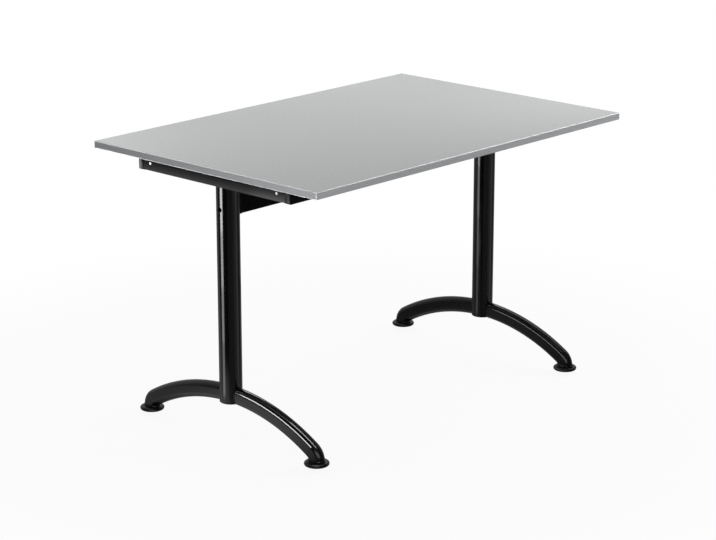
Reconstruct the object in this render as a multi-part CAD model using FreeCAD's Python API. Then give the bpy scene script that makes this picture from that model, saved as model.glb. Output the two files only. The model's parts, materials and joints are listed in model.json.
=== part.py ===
import FreeCAD, Part
import math
import os

from FreeCAD import Vector

# Cafeteria table, millimetres. X runs along the table, Y across it, Z up from the floor.
# The origin is on the floor under the middle of the top. Front is -Y, left is -X.

# Table top
top_length = 1200.0
top_width = 800.0
top_height = 740.0
board_thickness = 17.4
laminate_thickness = 0.8
band_thickness = 3.0
band_arris_radius = 2.4
band_corner_radius = 2.4

# Columns
column_inset = 93.0
column_diameter = 60.0
column_wall = 2.0
column_foot_height = 96.0
plug_flange = 3.0
plug_edge_radius = 2.4
plug_skirt_height = 20.0
plug_skirt_wall = 3.0
plug_clearance = 0.15

# Head channels, inverted U sections across the column heads
channel_width = 106.0
channel_height = 40.0
channel_wall = 2.5
channel_bend_radius = 4.0
channel_setback = 146.0

# Plastic end caps of the head channels
cap_length = 21.0
cap_drop = 2.0
cap_wall = 3.0
cap_edge_radius = 4.0
cap_tongue_length = 44.0
cap_tongue_thickness = 4.0
cap_tongue_margin = 3.0
cap_clearance = 0.2
cap_screw_inset = 26.0
cap_screw_diameter = 4.0
cap_screw_overhang = 1.5
cap_screw_head_diameter = 8.0
cap_screw_head_height = 2.6

# Wood screws through the channel web into the board
wood_screw_diameter = 4.5
wood_screw_bite = 13.0
wood_screw_head_diameter = 9.0
wood_screw_head_height = 3.0
wood_screw_offset = 34.0
wood_screw_near_row = 70.0
wood_screw_end_distance = 69.0
screw_clearance = 0.05
screw_hole_clearance = 0.3

# Beam between the columns
beam_height = 100.0
beam_width = 30.0
beam_wall = 2.0
beam_corner_radius = 3.0
beam_channel_rise = 14.0
beam_column_gap = 5.0
beam_notch_clearance = 1.5
end_plate_thickness = 8.0
bolt_diameter = 8.0
bolt_edge_distance = 18.0
bolt_head_diameter = 13.0
bolt_head_height = 4.4
bolt_key_size = 5.0
bolt_key_depth = 2.4
bolt_hole_clearance = 0.25
thread_clearance = 0.05
head_edge_radius = 2.0

# Bow feet of flat-oval tube
glide_inset = 94.0
arm_height = 46.0
arm_width = 30.0
arm_wall = 2.0
arm_crown_height = 116.5
weld_gap = 0.1
toe_inner_radius = 5.0
toe_spigot_length = 30.0
toe_spigot_clearance = 0.2
toe_collar_height = 3.0
toe_collar_width = 1.5

# Levelling glides under the toe caps
pad_diameter = 65.0
pad_base_diameter = 55.0
pad_shoulder_diameter = 54.0
pad_crown_diameter = 28.0
pad_height = 11.7
pad_shoulder_drop = 1.6
pad_rim_height = 5.4
pad_toe_gap = 0.3
stud_diameter = 10.0
stud_top_height = 46.0
stud_flange_diameter = 18.0
stud_flange_thickness = 3.0
stud_key_size = 6.0
stud_key_depth = 5.0
pad_sole_thickness = 3.4
pad_key_hole_diameter = 9.0
stud_axial_play = 0.3
running_clearance = 0.05
insert_diameter = 14.0
insert_length = 18.0
stud_hole_clearance = 0.5

# Heights and places worked out from the sizes above
top_thickness = board_thickness + 2 * laminate_thickness
top_underside = top_height - top_thickness
board_top = top_height - laminate_thickness
board_underside = top_underside + laminate_thickness
board_length = top_length - 2 * band_thickness
board_width = top_width - 2 * band_thickness

column_x = top_length / 2 - column_inset
column_radius = column_diameter / 2
web_underside = top_underside - channel_wall
channel_underside = top_underside - channel_height
column_tube_foot = column_foot_height + plug_flange

channel_end = top_width / 2 - channel_setback
cap_underside = channel_underside - cap_drop
cap_screw_y = channel_end - cap_screw_inset
cap_screw_z = top_underside - channel_height / 2
tongue_outer_face = channel_width / 2 - channel_wall - cap_clearance
tongue_inner_face = tongue_outer_face - cap_tongue_thickness
cap_screw_length = channel_wall + cap_clearance + cap_tongue_thickness + cap_screw_overhang
wood_screw_length = channel_wall + laminate_thickness + wood_screw_bite
wood_screw_rows = (wood_screw_near_row, channel_end - wood_screw_end_distance)

beam_top = channel_underside + beam_channel_rise
beam_underside = beam_top - beam_height
beam_middle = (beam_underside + beam_top) / 2
beam_end_x = column_x - column_radius - beam_column_gap
bolt_heights = (beam_underside + bolt_edge_distance, beam_top - bolt_edge_distance)
bolt_length = column_diameter + beam_column_gap + end_plate_thickness

# The toe bends on from the bow without a kink and ends upright over the glide. That fixes the
# bow's radius and the angle from its crown at which the arm ends and the toe begins.
glide_y = top_width / 2 - glide_inset
toe_foot_height = pad_height + pad_toe_gap
toe_radius = arm_height / 2 + toe_inner_radius
bow_rise = arm_crown_height - toe_foot_height
bow_radius = ((glide_y - toe_radius) ** 2 + bow_rise ** 2 - toe_radius ** 2) / (2 * (bow_rise - toe_radius))
bow_centre_height = arm_crown_height - bow_radius
arm_end_angle = math.degrees(math.asin((glide_y - toe_radius) / (bow_radius - toe_radius)))
spigot_angle = math.degrees(toe_spigot_length / bow_radius)

ALONG = Vector(1, 0, 0)
ACROSS = Vector(0, 1, 0)
UP = Vector(0, 0, 1)
ORIGIN = Vector(0, 0, 0)
ENDS = {"front": -1, "back": 1}
BOTH_WAYS = (-1, 1)
FULL_TURN = 360
UPRIGHT = 90


def block(x_range, y_range, z_range):
    """Box between three pairs of limits."""
    low = Vector(min(x_range), min(y_range), min(z_range))
    size = Vector(max(x_range), max(y_range), max(z_range)) - low
    return Part.makeBox(size.x, size.y, size.z, low)


def rod(radius, start, direction, length):
    """Cylinder from a point along a direction."""
    return Part.makeCylinder(radius, length, start, direction)


def hexagon(size_across_flats, start, direction, length):
    """Six-sided prism from a point along a direction."""
    spin = FreeCAD.Rotation(UP, direction)
    reach = size_across_flats / math.sqrt(3)
    corners = [
        Vector(reach * math.cos(math.radians(turn)), reach * math.sin(math.radians(turn)), 0)
        for turn in range(0, FULL_TURN + 1, 60)
    ]
    face = Part.Face(Part.makePolygon([start + spin.multVec(corner) for corner in corners]))
    return face.extrude(direction * length)


def edges_along(shape, direction, keep):
    """Straight edges of a shape along a direction whose middle passes a test."""
    found = []
    for edge in shape.Edges:
        if isinstance(edge.Curve, Part.Line):
            aligned = abs(edge.tangentAt(edge.FirstParameter).dot(direction)) > 0.999
            if aligned and keep(edge.CenterOfMass):
                found.append(edge)
    return found


def rounded_bar(width, height, radius, length, centre):
    """Bar along X with rounded long edges, its middle at a point."""
    low = centre - Vector(length / 2, width / 2, height / 2)
    bar = Part.makeBox(length, width, height, low)
    return bar.makeFillet(radius, edges_along(bar, ALONG, lambda middle: True))


def flat_oval(width, height):
    """Flat-oval face across X, at the bow's crown over the right column."""
    half = width / 2
    flat = height / 2 - half
    place = Vector(column_x, 0, arm_crown_height)
    right_low = place + Vector(half, 0, -flat)
    right_high = place + Vector(half, 0, flat)
    left_high = place + Vector(-half, 0, flat)
    left_low = place + Vector(-half, 0, -flat)
    outline = [
        Part.LineSegment(right_low, right_high),
        Part.Arc(right_high, place + Vector(0, 0, height / 2), left_high),
        Part.LineSegment(left_high, left_low),
        Part.Arc(left_low, place - Vector(0, 0, height / 2), right_low),
    ]
    return Part.Face(Part.Wire([curve.toShape() for curve in outline]))


def along_bow(face, start_angle, sweep_angle, end):
    """Sweep a face along the bow, from an angle off the crown towards one end."""
    axis_point = Vector(column_x, 0, bow_centre_height)
    face = face.copy()
    face.rotate(axis_point, ALONG, -end * start_angle)
    return face.revolve(axis_point, ALONG, -end * sweep_angle)


def mirrored(shape):
    """The same piece on the other side of the table's middle."""
    return shape.mirror(ORIGIN, ALONG)


def wood_screw_places():
    """Points on the right channel's web where the wood screws go."""
    return [
        Vector(column_x + side * wood_screw_offset, end * row, web_underside)
        for side in BOTH_WAYS
        for end in ENDS.values()
        for row in wood_screw_rows
    ]


def cap_screw_places():
    """Points on the right channel's flanges where the cap screws go, with their outward sides."""
    return [
        (Vector(column_x + side * channel_width / 2, end * cap_screw_y, cap_screw_z), side)
        for side in BOTH_WAYS
        for end in ENDS.values()
    ]


def wood_screw_holes(radius):
    """Cutters for the wood screws of both channels."""
    right = [rod(radius, place, UP, wood_screw_length) for place in wood_screw_places()]
    return right + [mirrored(hole) for hole in right]


# Table top
def top_layer(low, high):
    """Flat sheet of the top inside the edge bands."""
    half_length = board_length / 2
    half_width = board_width / 2
    return block((-half_length, half_length), (-half_width, half_width), (low, high))


def edge_bands():
    """Four bands round the board, the long ones covering the ends of the short ones."""
    half_length = top_length / 2
    half_width = top_width / 2
    whole = block((-half_length, half_length), (-half_width, half_width), (top_underside, top_height))
    whole = whole.makeFillet(band_corner_radius, edges_along(whole, UP, lambda middle: True))
    rims = [
        edge for edge in whole.Edges
        if edge.BoundBox.ZLength < band_arris_radius
    ]
    whole = whole.makeFillet(band_arris_radius, rims)
    ring = whole.cut(top_layer(top_underside, top_height))
    depth = (top_underside, top_height)
    across = (-board_width / 2, board_width / 2)
    along = (-half_length, half_length)
    zones = {
        "edge_band_front": block(along, (-half_width, -board_width / 2), depth),
        "edge_band_back": block(along, (board_width / 2, half_width), depth),
        "edge_band_left": block((-half_length, -board_length / 2), across, depth),
        "edge_band_right": block((board_length / 2, half_length), across, depth),
    }
    return {name: ring.common(zone).Solids[0] for name, zone in zones.items()}


def table_top():
    """Board, laminates and bands, with the wood screws' pilot holes."""
    pilots = wood_screw_holes(wood_screw_diameter / 2 + screw_clearance)
    pieces = {
        "top_laminate": top_layer(board_top, top_height),
        "top_board": top_layer(board_underside, board_top).cut(pilots),
        "backing_laminate": top_layer(top_underside, board_underside).cut(pilots),
    }
    pieces.update(edge_bands())
    return pieces


# Right leg, the left one is its mirror image
def column():
    """Round tube with the holes for the beam's bolts."""
    height = web_underside - column_tube_foot
    foot = Vector(column_x, 0, column_tube_foot)
    tube = rod(column_radius, foot, UP, height).cut(rod(column_radius - column_wall, foot, UP, height))
    return tube.cut(bolt_holes(bolt_diameter / 2 + bolt_hole_clearance))


def column_plug():
    """Plug whose flange closes the column's lower end."""
    foot = Vector(column_x, 0, column_foot_height)
    seat = Vector(column_x, 0, column_tube_foot)
    skirt_radius = column_radius - column_wall - plug_clearance
    flange = rod(column_radius, foot, UP, plug_flange)
    lower_rim = [
        edge for edge in flange.Edges
        if isinstance(edge.Curve, Part.Circle) and edge.CenterOfMass.z < column_foot_height + plug_flange / 2
    ]
    flange = flange.makeFillet(plug_edge_radius, lower_rim)
    skirt = rod(skirt_radius, seat, UP, plug_skirt_height)
    skirt = skirt.cut(rod(skirt_radius - plug_skirt_wall, seat, UP, plug_skirt_height))
    return flange.fuse(skirt)


def channel_profile(width, low, high, bend):
    """Long block over the column with its two upper long edges bent."""
    x_range = (column_x - width / 2, column_x + width / 2)
    bar = block(x_range, (-channel_end, channel_end), (low, high))
    upper = edges_along(bar, ACROSS, lambda middle: middle.z > (low + high) / 2)
    return bar.makeFillet(bend, upper)


def head_channel():
    """Pressed channel with screw holes and a notch where the beam passes."""
    outside = channel_profile(channel_width, channel_underside, top_underside, channel_bend_radius)
    inside = channel_profile(
        channel_width - 2 * channel_wall,
        channel_underside - channel_wall,
        web_underside,
        channel_bend_radius - channel_wall,
    )
    notch_half = beam_width / 2 + beam_notch_clearance
    inner_face = column_x - channel_width / 2
    notch = block(
        (inner_face - channel_wall, inner_face + 2 * channel_wall),
        (-notch_half, notch_half),
        (channel_underside - channel_wall, beam_top + beam_notch_clearance),
    )
    web_holes = wood_screw_holes(wood_screw_diameter / 2 + screw_hole_clearance)
    flange_holes = [
        rod(cap_screw_diameter / 2 + screw_hole_clearance, place, ALONG * -side, channel_wall)
        for place, side in cap_screw_places()
    ]
    return outside.cut([inside, notch] + web_holes + flange_holes)


def channel_cap(end):
    """Hollow hood over the channel's end, with two tongues inside the flanges."""
    half = channel_width / 2
    outer_y = end * (channel_end + cap_length)
    hood = block((column_x - half, column_x + half), (end * channel_end, outer_y), (cap_underside, top_underside))
    rounded = edges_along(hood, UP, lambda middle: abs(middle.y - outer_y) < cap_wall)
    rounded += edges_along(hood, ALONG, lambda middle: abs(middle.y - outer_y) + middle.z - cap_underside < cap_wall)
    rounded += edges_along(hood, ACROSS, lambda middle: middle.z < cap_screw_z)
    hood = hood.makeFillet(cap_edge_radius, rounded)
    hollow = block(
        (column_x - tongue_inner_face, column_x + tongue_inner_face),
        (end * channel_end, outer_y - end * cap_wall),
        (cap_underside + cap_wall, top_underside - cap_wall),
    )
    cap = hood.cut(hollow)
    tongue_low = channel_underside + cap_tongue_margin
    tongue_high = web_underside - cap_tongue_margin
    for side in BOTH_WAYS:
        faces = (column_x + side * tongue_inner_face, column_x + side * tongue_outer_face)
        reach = (end * (channel_end - cap_tongue_length), end * channel_end)
        cap = cap.fuse(block(faces, reach, (tongue_low, tongue_high)))
    pilots = [
        rod(cap_screw_diameter / 2 + screw_clearance, place, ALONG * -side, cap_screw_length)
        for place, side in cap_screw_places()
    ]
    return cap.cut(pilots).removeSplitter()


def cap_screws():
    """Domed screws through the channel's flanges into the caps' tongues."""
    screws = []
    for place, side in cap_screw_places():
        outward = ALONG * side
        shank = rod(cap_screw_diameter / 2, place, outward * -1, cap_screw_length)
        screws.append(shank.fuse(domed_head(cap_screw_head_diameter, cap_screw_head_height, place, outward)))
    return screws


def domed_head(diameter, height, seat, direction):
    """Screw head with a flat seat and a domed top."""
    head = rod(diameter / 2, seat, direction, height)
    rim = [
        edge for edge in head.Edges
        if isinstance(edge.Curve, Part.Circle) and (edge.CenterOfMass - seat).dot(direction) > height / 2
    ]
    return head.makeFillet(head_edge_radius, rim)


def wood_screws():
    """Screws that hold the board down on the channel."""
    screws = []
    for place in wood_screw_places():
        shank = rod(wood_screw_diameter / 2, place, UP, wood_screw_length)
        screws.append(shank.fuse(domed_head(wood_screw_head_diameter, wood_screw_head_height, place, UP * -1)))
    return screws


def foot_arm(end):
    """Bow arm of flat-oval tube, coped to the column."""
    outside = along_bow(flat_oval(arm_width, arm_height), 0, arm_end_angle, end)
    bore = flat_oval(arm_width - 2 * arm_wall, arm_height - 2 * arm_wall)
    inside = along_bow(bore, 0, arm_end_angle, end)
    foot = Vector(column_x, 0, 0)
    cope = rod(column_radius + weld_gap, foot, UP, arm_crown_height + arm_height)
    return outside.cut([inside, cope])


def toe_cap(end):
    """Moulded elbow from the arm's end down to the glide, with a spigot in the arm."""
    axis_point = Vector(column_x, end * (glide_y - toe_radius), toe_foot_height)
    section = flat_oval(arm_width, arm_height)
    section.rotate(Vector(column_x, 0, bow_centre_height), ALONG, -end * arm_end_angle)
    elbow = section.revolve(axis_point, ALONG, -end * (UPRIGHT - arm_end_angle))
    inset = 2 * (arm_wall + toe_spigot_clearance)
    spigot_face = flat_oval(arm_width - inset, arm_height - inset)
    spigot = along_bow(spigot_face, arm_end_angle - spigot_angle, spigot_angle, end)
    collar_face = flat_oval(arm_width + 2 * toe_collar_width, arm_height + 2 * toe_collar_width)
    collar_face.rotate(Vector(column_x, 0, arm_crown_height), ALONG, UPRIGHT)
    collar_face.translate(Vector(0, end * glide_y, toe_foot_height - arm_crown_height))
    collar = collar_face.extrude(UP * toe_collar_height)
    glide_axis = Vector(column_x, end * glide_y, toe_foot_height)
    insert_hole = rod(insert_diameter / 2 + screw_clearance, glide_axis, UP, insert_length)
    stud_room = stud_top_height + stud_hole_clearance - toe_foot_height
    stud_hole = rod(stud_diameter / 2 + stud_hole_clearance, glide_axis, UP, stud_room)
    return elbow.fuse([spigot, collar]).cut([insert_hole, stud_hole]).removeSplitter()


def glide_insert(end):
    """Threaded insert in the toe cap that the levelling stud screws into."""
    foot = Vector(column_x, end * glide_y, toe_foot_height)
    body = rod(insert_diameter / 2, foot, UP, insert_length)
    return body.cut(rod(stud_diameter / 2 + running_clearance, foot, UP, insert_length))


def glide_stud(end):
    """Levelling stud with a flange held in the pad and a key socket from below."""
    foot = Vector(column_x, end * glide_y, pad_sole_thickness + stud_axial_play)
    shank = rod(stud_diameter / 2, foot, UP, stud_top_height - foot.z)
    flange = rod(stud_flange_diameter / 2, foot, UP, stud_flange_thickness)
    key = hexagon(stud_key_size, foot, UP, stud_key_depth)
    return shank.fuse(flange).cut(key).removeSplitter()


def glide_pad(end):
    """Round pad with a rounded rim and a pocket that holds the stud's flange."""
    centre = Vector(column_x, end * glide_y, 0)
    base = centre + Vector(pad_base_diameter / 2, 0, 0)
    rim = centre + Vector(pad_diameter / 2, 0, pad_rim_height)
    shoulder = centre + Vector(pad_shoulder_diameter / 2, 0, pad_height - pad_shoulder_drop)
    crown = centre + Vector(pad_crown_diameter / 2, 0, pad_height)
    middle = centre + Vector(0, 0, pad_height)
    outline = [
        Part.LineSegment(centre, base),
        Part.Arc(base, rim, shoulder),
        Part.LineSegment(shoulder, crown),
        Part.LineSegment(crown, middle),
        Part.LineSegment(middle, centre),
    ]
    face = Part.Face(Part.Wire([curve.toShape() for curve in outline]))
    body = face.revolve(centre, UP, FULL_TURN)
    pocket_height = stud_flange_thickness + 2 * stud_axial_play
    pocket_foot = centre + UP * pad_sole_thickness
    pocket = rod(stud_flange_diameter / 2 + stud_axial_play, pocket_foot, UP, pocket_height)
    neck = rod(stud_diameter / 2 + running_clearance, pocket_foot, UP, pad_height - pad_sole_thickness)
    key_hole = rod(pad_key_hole_diameter / 2, centre, UP, pad_sole_thickness)
    return body.cut([pocket, neck, key_hole])


# Beam
def bolt_holes(radius):
    """Cutters for the right column's beam bolts."""
    return [
        rod(radius, Vector(column_x + column_radius, 0, height), ALONG * -1, bolt_length)
        for height in bolt_heights
    ]


def beam():
    """Rectangular tube between the columns."""
    centre = Vector(0, 0, beam_middle)
    length = 2 * beam_end_x
    outside = rounded_bar(beam_width, beam_height, beam_corner_radius, length, centre)
    return outside.cut(beam_bore(length, centre))


def beam_bore(length, centre):
    """Space inside the beam's walls."""
    bore_radius = beam_corner_radius - beam_wall
    return rounded_bar(beam_width - 2 * beam_wall, beam_height - 2 * beam_wall, bore_radius, length, centre)


def beam_end_plate():
    """Threaded plate welded into the beam's right end."""
    centre = Vector(beam_end_x - end_plate_thickness / 2, 0, beam_middle)
    return beam_bore(end_plate_thickness, centre).cut(bolt_holes(bolt_diameter / 2 + thread_clearance))


def beam_saddle():
    """Saddle that fills the space between the beam's flat end and the round column."""
    half = beam_width / 2
    saddle = block((beam_end_x, column_x), (-half, half), (beam_underside, beam_top))
    foot = Vector(column_x, 0, 0)
    cope = rod(column_radius + weld_gap, foot, UP, top_height)
    return saddle.cut([cope] + bolt_holes(bolt_diameter / 2 + bolt_hole_clearance))


def beam_bolts():
    """Button-head bolts from the column's outer side into the end plate."""
    bolts = []
    for height in bolt_heights:
        seat = Vector(column_x + column_radius, 0, height)
        shank = rod(bolt_diameter / 2, seat, ALONG * -1, bolt_length)
        head = domed_head(bolt_head_diameter, bolt_head_height, seat, ALONG)
        socket_floor = seat + ALONG * (bolt_head_height - bolt_key_depth)
        key = hexagon(bolt_key_size, socket_floor, ALONG, bolt_key_depth)
        bolts.append(shank.fuse(head).cut(key))
    return bolts


def right_leg():
    """Pieces of the right leg, by name without the side."""
    pieces = {
        "column": [column()],
        "column_plug": [column_plug()],
        "head_channel": [head_channel()],
        "top_screws": wood_screws(),
        "cap_screws": cap_screws(),
        "beam_end_plate": [beam_end_plate()],
        "beam_saddle": [beam_saddle()],
        "beam_bolts": beam_bolts(),
    }
    for end_name, end in ENDS.items():
        pieces[f"channel_cap_{end_name}"] = [channel_cap(end)]
        pieces[f"foot_arm_{end_name}"] = [foot_arm(end)]
        pieces[f"toe_cap_{end_name}"] = [toe_cap(end)]
        pieces[f"glide_insert_{end_name}"] = [glide_insert(end)]
        pieces[f"glide_stud_{end_name}"] = [glide_stud(end)]
        pieces[f"glide_pad_{end_name}"] = [glide_pad(end)]
    return pieces


def save(name, solids):
    """Write one node, as a single solid or as a group of separate solids."""
    shape = solids[0] if len(solids) == 1 else Part.makeCompound(solids)
    shape.exportStep(f"parts/{name}.step")


def main():
    """Build every piece of the table and write it."""
    os.makedirs("parts", exist_ok=True)
    for name, solid in table_top().items():
        save(name, [solid])
    save("beam", [beam()])
    for name, solids in right_leg().items():
        save(f"{name}_right", solids)
        save(f"{name}_left", [mirrored(solid) for solid in solids])


main()
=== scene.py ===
import json
import logging
import math
from dataclasses import dataclass
from enum import Enum
from typing import Callable, Iterable, Sequence

import bmesh
import bpy
from mathutils import Matrix, Vector

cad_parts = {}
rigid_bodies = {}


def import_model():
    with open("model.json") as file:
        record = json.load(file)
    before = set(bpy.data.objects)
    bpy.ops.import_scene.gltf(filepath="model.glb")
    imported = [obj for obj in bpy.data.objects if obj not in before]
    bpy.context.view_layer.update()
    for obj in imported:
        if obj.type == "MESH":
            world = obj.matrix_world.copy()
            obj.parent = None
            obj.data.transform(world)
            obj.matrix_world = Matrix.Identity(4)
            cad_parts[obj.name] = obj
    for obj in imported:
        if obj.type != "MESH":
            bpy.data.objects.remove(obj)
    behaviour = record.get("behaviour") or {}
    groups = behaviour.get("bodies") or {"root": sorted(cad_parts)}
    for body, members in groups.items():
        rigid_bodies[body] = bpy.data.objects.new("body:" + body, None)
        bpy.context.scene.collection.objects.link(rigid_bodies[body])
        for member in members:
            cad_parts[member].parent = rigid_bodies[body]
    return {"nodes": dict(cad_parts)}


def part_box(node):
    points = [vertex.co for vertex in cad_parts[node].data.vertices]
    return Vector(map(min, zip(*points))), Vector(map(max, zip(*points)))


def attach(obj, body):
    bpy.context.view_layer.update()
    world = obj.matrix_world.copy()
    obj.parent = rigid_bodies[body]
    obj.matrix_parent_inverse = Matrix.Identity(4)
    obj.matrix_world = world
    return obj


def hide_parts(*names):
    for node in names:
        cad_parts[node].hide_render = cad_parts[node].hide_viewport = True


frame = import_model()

log = logging.getLogger("cafeteria_table")

Mesh = bmesh.types.BMesh
Edge = bmesh.types.BMEdge
Tree = bpy.types.NodeTree
Socket = bpy.types.NodeSocket
Profile = Sequence[tuple[float, float]]

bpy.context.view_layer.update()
MM = 0.001
ALONG = Vector((1.0, 0.0, 0.0))
UP = Vector((0.0, 0.0, 1.0))
FRAME_BODY = "frame"
SHARP_ANGLE = math.radians(32.0)
ROUND_STEPS = 96
SMALL_ROUND_STEPS = 48
MERGE_DISTANCE = 1e-7
BRIDGE_GAP = 0.5
ROUND_PROFILE = 0.5
FLAT_FACE_WEIGHT = 100
DOME_WALL_SHARE = 0.22
DOME_LAST_ANGLE = 70.0
BEAD_SIDES = 10
BEAD_RIPPLE_STEPS = 5
SMOOTH = {"interpolation_type": "SMOOTHSTEP"}


class Named(Enum):
    """A choice that is part of the nodes' names."""

    @property
    def word(self) -> str:
        """The choice's name as the nodes spell it."""
        return self.name.lower()


class Side(Named):
    """The table's two legs, with the way each leg faces along X."""

    LEFT = -1
    RIGHT = 1


class End(Named):
    """The two ends of a foot, with the way each faces along Y."""

    FRONT = -1
    BACK = 1


# Colours and nodes
def linear(hex_colour: str) -> tuple[float, float, float, float]:
    """Turn an sRGB hex colour into the linear colour that a socket takes.

    Args:
        hex_colour: six hex digits with a leading hash.

    Returns:
        Red, green, blue and an alpha of one.
    """
    parts = [int(hex_colour[place:place + 2], 16) / 255.0 for place in (1, 3, 5)]
    curve = [part / 12.92 if part <= 0.04045 else ((part + 0.055) / 1.055) ** 2.4 for part in parts]
    return (*curve, 1.0)


def add_node(tree: Tree, kind: str, inputs: dict | None = None, **settings: object) -> bpy.types.Node:
    """Add one node with its settings, values and links.

    Args:
        tree: the node tree that gets the node.
        kind: the node's type name.
        inputs: socket name or number to a value, or to an output socket to link from.
        settings: attributes of the node itself.

    Returns:
        The new node.
    """
    node = tree.nodes.new(kind)
    for name, value in settings.items():
        setattr(node, name, value)
    for key, value in (inputs or {}).items():
        if isinstance(value, Socket):
            tree.links.new(value, node.inputs[key])
        else:
            node.inputs[key].default_value = value
    return node


def pattern_scale(size_mm: float) -> float:
    """Scale of a texture on coordinates in metres that repeats about once in a real size."""
    return 1.0 / (size_mm * MM)


# Finishes
@dataclass(frozen=True)
class Finish:
    """A surface finish: a base colour with slow tone changes, a gloss and a fine relief.

    Its slot is the record's material slot for its pieces. A finish that only dresses CAD nodes has none.
    """

    name: str
    colour: str
    tone: str
    roughness: float
    roughness_spread: float
    tone_mm: float
    relief_mm: float
    relief_depth_mm: float
    metallic: float = 0.0
    specular: float = 0.5
    stretch: tuple[float, float, float] = (1.0, 1.0, 1.0)
    slot: str = ""

    def material(self) -> bpy.types.Material:
        """Build the finish once and hand out the same material after that.

        Returns:
            The node-based material.
        """
        made = bpy.data.materials.get(self.name)
        if made is not None:
            return made
        made = bpy.data.materials.new(self.name)
        made.use_nodes = True
        tree = made.node_tree
        tree.nodes.clear()
        place = add_node(tree, "ShaderNodeTexCoord").outputs["Object"]
        stretched = {"Vector": place, "Scale": self.stretch}
        place = add_node(tree, "ShaderNodeMapping", stretched).outputs["Vector"]
        tone = self.tone_field(tree, place)
        colour = add_node(tree, "ShaderNodeValToRGB", {"Fac": tone})
        colour.color_ramp.elements[0].color = linear(self.colour)
        colour.color_ramp.elements[1].color = linear(self.tone)
        gloss = {
            "Value": tone,
            "To Min": self.roughness - self.roughness_spread,
            "To Max": self.roughness + self.roughness_spread,
        }
        relief = {"Height": self.relief_field(tree, place), "Distance": self.relief_depth_mm * MM}
        surface = {
            "Base Color": colour.outputs["Color"],
            "Metallic": self.metallic,
            "Roughness": add_node(tree, "ShaderNodeMapRange", gloss).outputs["Result"],
            "Specular IOR Level": self.specular,
            "Normal": add_node(tree, "ShaderNodeBump", relief).outputs["Normal"],
        }
        shader = add_node(tree, "ShaderNodeBsdfPrincipled", surface)
        add_node(tree, "ShaderNodeOutputMaterial", {"Surface": shader.outputs["BSDF"]})
        return made

    def tone_field(self, tree: Tree, place: Socket) -> Socket:
        """Slow change of tone over the stretched object coordinates, from 0 to 1."""
        cloud = {"Vector": place, "Scale": pattern_scale(self.tone_mm), "Detail": 4.0, "Roughness": 0.6}
        return add_node(tree, "ShaderNodeTexNoise", cloud).outputs["Fac"]

    def relief_field(self, tree: Tree, place: Socket) -> Socket:
        """Height of the fine relief over the stretched object coordinates, from 0 to 1."""
        grain = {"Vector": place, "Scale": pattern_scale(self.relief_mm), "Detail": 2.0, "Roughness": 0.5}
        return add_node(tree, "ShaderNodeTexNoise", grain).outputs["Fac"]


@dataclass(frozen=True)
class SpeckledFinish(Finish):
    """A finish whose tone is a fine speckle, as in pressed laminate and chipboard."""

    cloud_share: float = 60.0

    def tone_field(self, tree: Tree, place: Socket) -> Socket:
        """Fine speckle of cells, softened by a slow cloud.

        Args:
            tree: the finish's node tree.
            place: the stretched object coordinates.

        Returns:
            The tone, from 0 to 1.
        """
        speck = {"Vector": place, "Scale": pattern_scale(self.tone_mm)}
        cloud = {"Vector": place, "Scale": pattern_scale(self.tone_mm * self.cloud_share), "Detail": 3.0}
        both = {
            0: add_node(tree, "ShaderNodeTexVoronoi", speck).outputs["Distance"],
            1: add_node(tree, "ShaderNodeTexNoise", cloud).outputs["Fac"],
        }
        return add_node(tree, "ShaderNodeMath", both, operation="MULTIPLY", use_clamp=True).outputs["Value"]


# High-pressure laminate, pressed on a fine matt plate: an even, almost neutral grey with a faint
# speckle and a soft sheen that brightens where it is seen flat. The speckle is drawn coarser than
# the real 0.5 mm, which a picture of the whole table would lose.
LAMINATE = SpeckledFinish(
    "laminate_pressed_matt", "#b8bab9", "#939596", 0.36, 0.05, 2.2, 0.9, 0.012,
    specular=0.45, slot="laminate", cloud_share=3.0,
)
# Balancing laminate on the underside: paler, duller and a little warm.
BACKING = SpeckledFinish("backing_laminate_matt", "#c6c5c1", "#b9b8b4", 0.55, 0.05, 2.4, 1.2, 0.015)
# Extruded edge band, scraped and buffed along its length: faint streaks and a satin shine that
# draws a light line along its rounded arrises.
EDGE_BAND = Finish(
    "abs_edge_band_buffed", "#acaeb0", "#a2a4a6", 0.34, 0.04, 30.0, 4.0, 0.004,
    stretch=(1.0, 1.0, 3.0), slot="edge_band",
)
# Chipboard core, sawn: pale chips in darker glue.
CHIPBOARD = SpeckledFinish("chipboard_sawn", "#b99a6c", "#8f7046", 0.8, 0.08, 3.0, 2.0, 0.2)
# Black powder coat, baked on steel: a deep gloss with a slight orange-peel ripple. The ripple is
# drawn at 7 mm for the real 2 mm, so that it bends the highlights gently and doesn't speckle them.
POWDER_COAT = Finish(
    "steel_black_powder_coat", "#0b0b0c", "#0f0f10", 0.12, 0.02, 60.0, 7.0, 0.0006, slot="black_steel"
)
# Black polyamide, injection moulded: half gloss, with the grain of a spark-eroded mould, drawn at
# 5 mm for the real 0.3 mm, which is too fine to show.
POLYAMIDE = Finish(
    "polyamide_black_moulded", "#0e0e0f", "#141416", 0.22, 0.04, 18.0, 5.0, 0.004, slot="black_plastic"
)
# Glide pads, moulded from a harder, duller grade with a soft shine on the rim; same grain.
GLIDE_NYLON = Finish(
    "glide_nylon_black_moulded", "#0c0c0d", "#131314", 0.34, 0.04, 14.0, 5.0, 0.003, slot="glide_plastic"
)
# Zinc plate on steel, bright passivated: a cool bright metal with blurred reflections and faint clouds.
ZINC = Finish(
    "steel_zinc_plated_bright", "#e2e4e6", "#cfd2d5", 0.38, 0.06, 5.0, 0.8, 0.004,
    metallic=1.0, slot="zinc_steel",
)
# Black oxide on the bolts: dark, oily and slightly metallic.
BLACK_OXIDE = Finish(
    "steel_black_oxide", "#222224", "#2b2b2d", 0.3, 0.06, 5.0, 0.7, 0.004, metallic=0.7, slot="black_bolt"
)
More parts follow.
